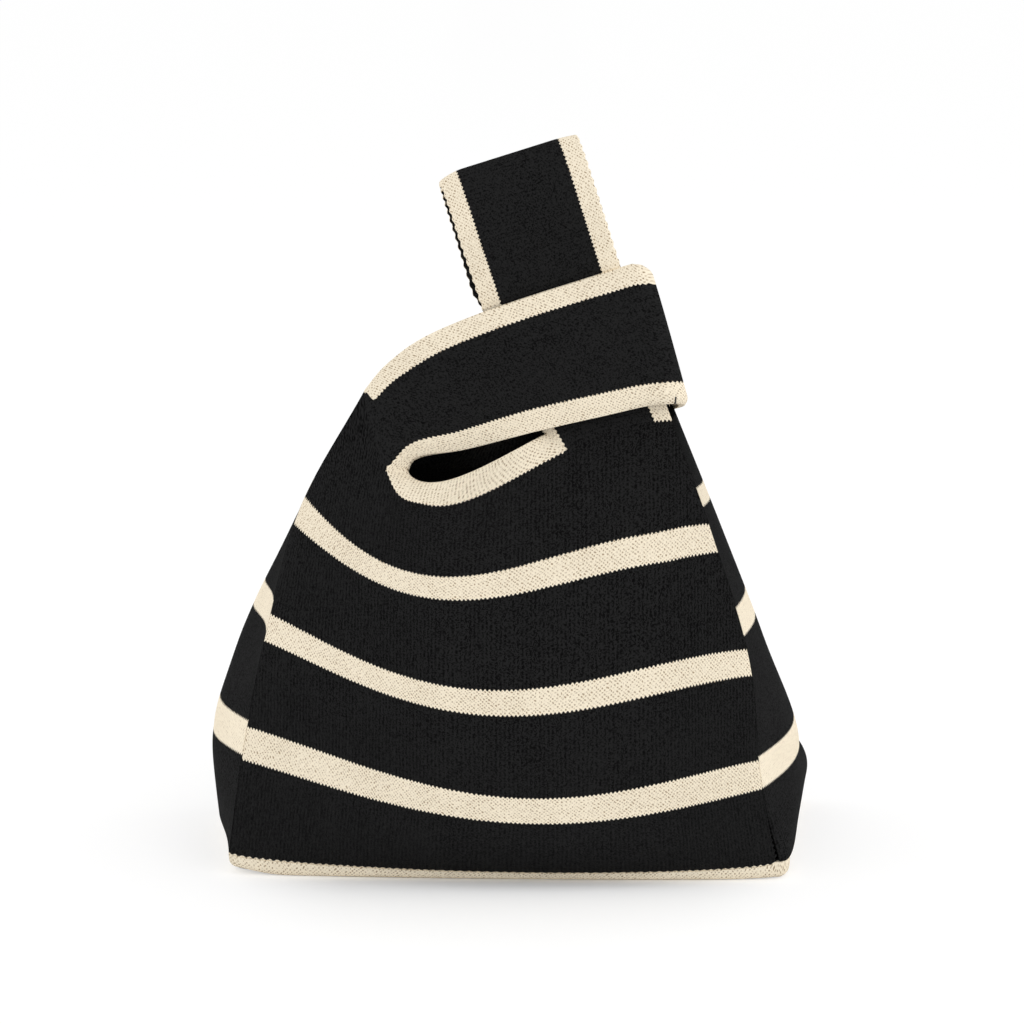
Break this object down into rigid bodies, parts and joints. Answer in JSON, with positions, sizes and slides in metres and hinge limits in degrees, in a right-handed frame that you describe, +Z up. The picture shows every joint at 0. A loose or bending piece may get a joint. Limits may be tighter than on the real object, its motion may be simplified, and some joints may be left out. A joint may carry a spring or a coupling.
{
  "type": "knitted knot bag",
  "caption": "Knitted wrist bag with a gusseted body on a flat base, plain stripes and pale edge bands; its long handle is drawn up through its short handle to close the mouth.",
  "frame": {"origin": "on the table, under the middle of the bag: the centre of the bounding box in X and Y, and the underside of the base in Z", "axes": "+Z up, +X to the right in the picture along the bag's width, the pictured front towards -Y"},
  "size_m": [0.2422, 0.1402, 0.2882],
  "materials": {
    "black_knit": "matt ribbed double knit",
    "cream_knit": "matt ribbed double knit",
    "seam_thread": "matt linking thread"
  },
  "bodies": {
    "bag": {"front_panel": "black_knit", "back_panel": "black_knit", "left_gusset": "black_knit", "right_gusset": "black_knit", "short_handle_front": "black_knit", "short_handle_back": "black_knit", "long_handle_front": "black_knit", "long_handle_back": "black_knit", "base_panel": "cream_knit", "front_mouth_band": "cream_knit", "back_mouth_band": "cream_knit", "short_handle_front_inner_band": "cream_knit", "long_handle_front_inner_band": "cream_knit", "short_handle_front_outer_band": "cream_knit", "long_handle_front_outer_band": "cream_knit", "short_handle_back_inner_band": "cream_knit", "long_handle_back_inner_band": "cream_knit", "short_handle_back_outer_band": "cream_knit", "long_handle_back_outer_band": "cream_knit", "front_left_seam": "seam_thread", "front_right_seam": "seam_thread", "back_left_seam": "seam_thread", "back_right_seam": "seam_thread", "base_seam": "seam_thread", "short_handle_end_seam": "seam_thread"},
    "handle_neck": {"neck_front": "black_knit", "neck_front_inner_band": "cream_knit", "neck_front_outer_band": "cream_knit", "neck_back": "black_knit", "neck_back_inner_band": "cream_knit", "neck_back_outer_band": "cream_knit"},
    "carry_loop": {"carry_loop": "black_knit", "carry_loop_inner_band": "cream_knit", "carry_loop_outer_band": "cream_knit"}
  },
  "joints": [
    {"name": "carry_loop_slide", "type": "slide", "parent": "bag", "child": "handle_neck", "axis": [-0.3007, 0, 0.9537], "range_m": [0, 0.015]},
    {"name": "carry_loop_swing", "type": "hinge", "parent": "handle_neck", "child": "carry_loop", "pos_m": [0.0129, 0, 0.2306], "axis": [0.9537, 0, 0.3007], "range_deg": [-85, 85]}
  ]
}
